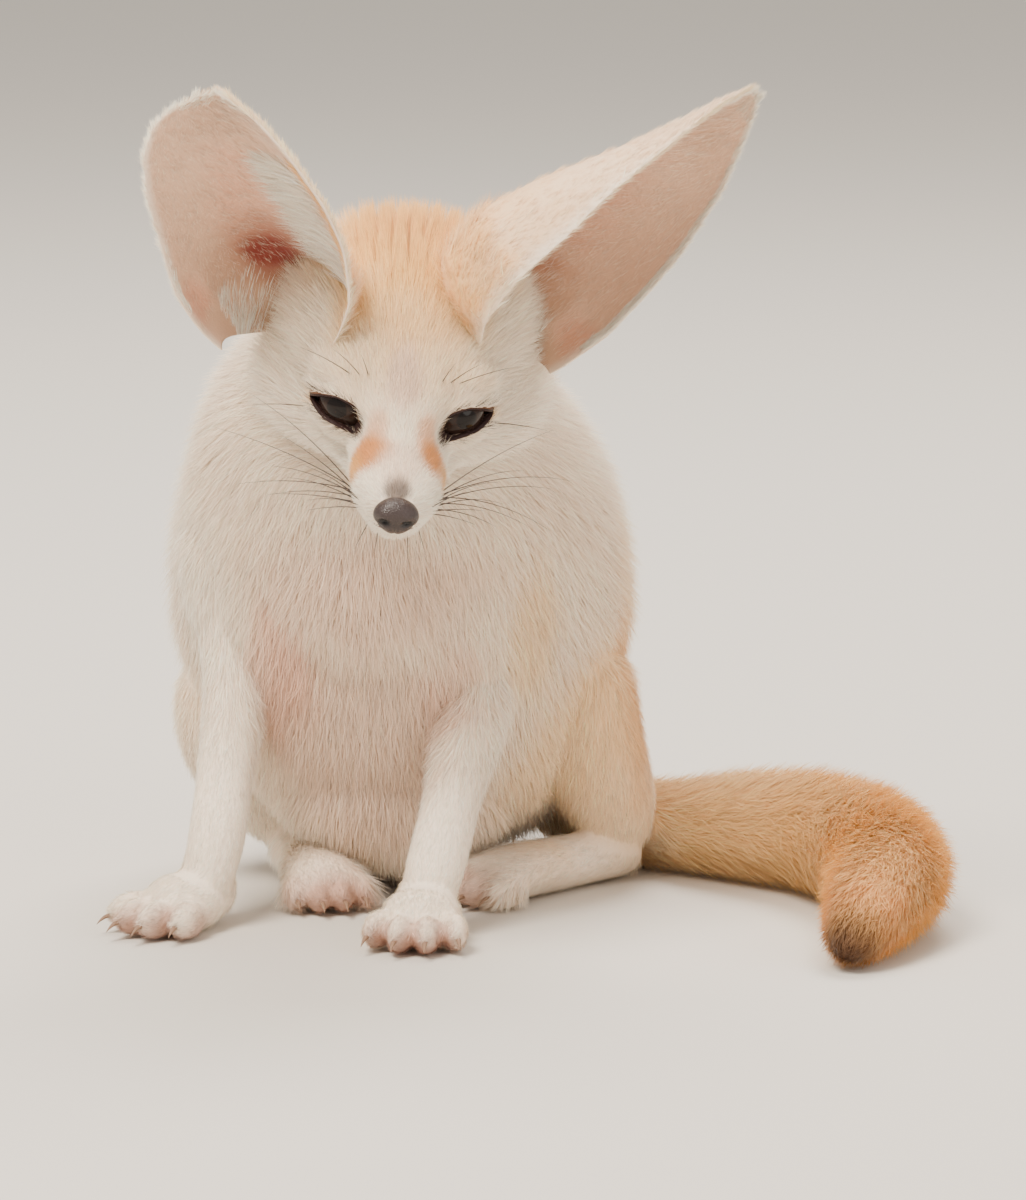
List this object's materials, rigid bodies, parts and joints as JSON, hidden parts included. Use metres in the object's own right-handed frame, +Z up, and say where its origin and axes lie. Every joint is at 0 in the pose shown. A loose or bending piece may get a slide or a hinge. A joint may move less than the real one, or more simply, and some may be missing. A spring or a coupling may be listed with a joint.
{
  "type": "fennec fox",
  "caption": "Life-size sitting fennec fox with very large ears, head lowered, forelegs propped and a bushy tail laid round its side.",
  "frame": {"origin": "middle of the model's box on the floor it sits on", "axes": "+Z up, the fox faces -Y, its own left side is towards +X"},
  "size_m": [0.2352, 0.1879, 0.235],
  "materials": {
    "coat": "cream fur with fawn and rusty orange markings",
    "ear_lining": "short pale fur over pink skin",
    "nose_pad": "damp dark leather",
    "eye": "wet and dark",
    "claw": "horn",
    "whisker": "stiff dark hair"
  },
  "bodies": {
    "root": {"head": "coat", "nose": "nose_pad", "eye_left": "eye", "eye_right": "eye", "ear_left": "ear_lining", "ear_right": "ear_lining", "neck": "coat", "torso": "coat", "foreleg_left": "coat", "foreleg_right": "coat", "forepaw_left": "coat", "forepaw_right": "coat", "hindleg_left": "coat", "hindleg_right": "coat", "hindfoot_left": "coat", "hindfoot_right": "coat", "tail_base": "coat", "tail_middle": "coat", "tail_end": "coat"}
  },
  "joints": []
}
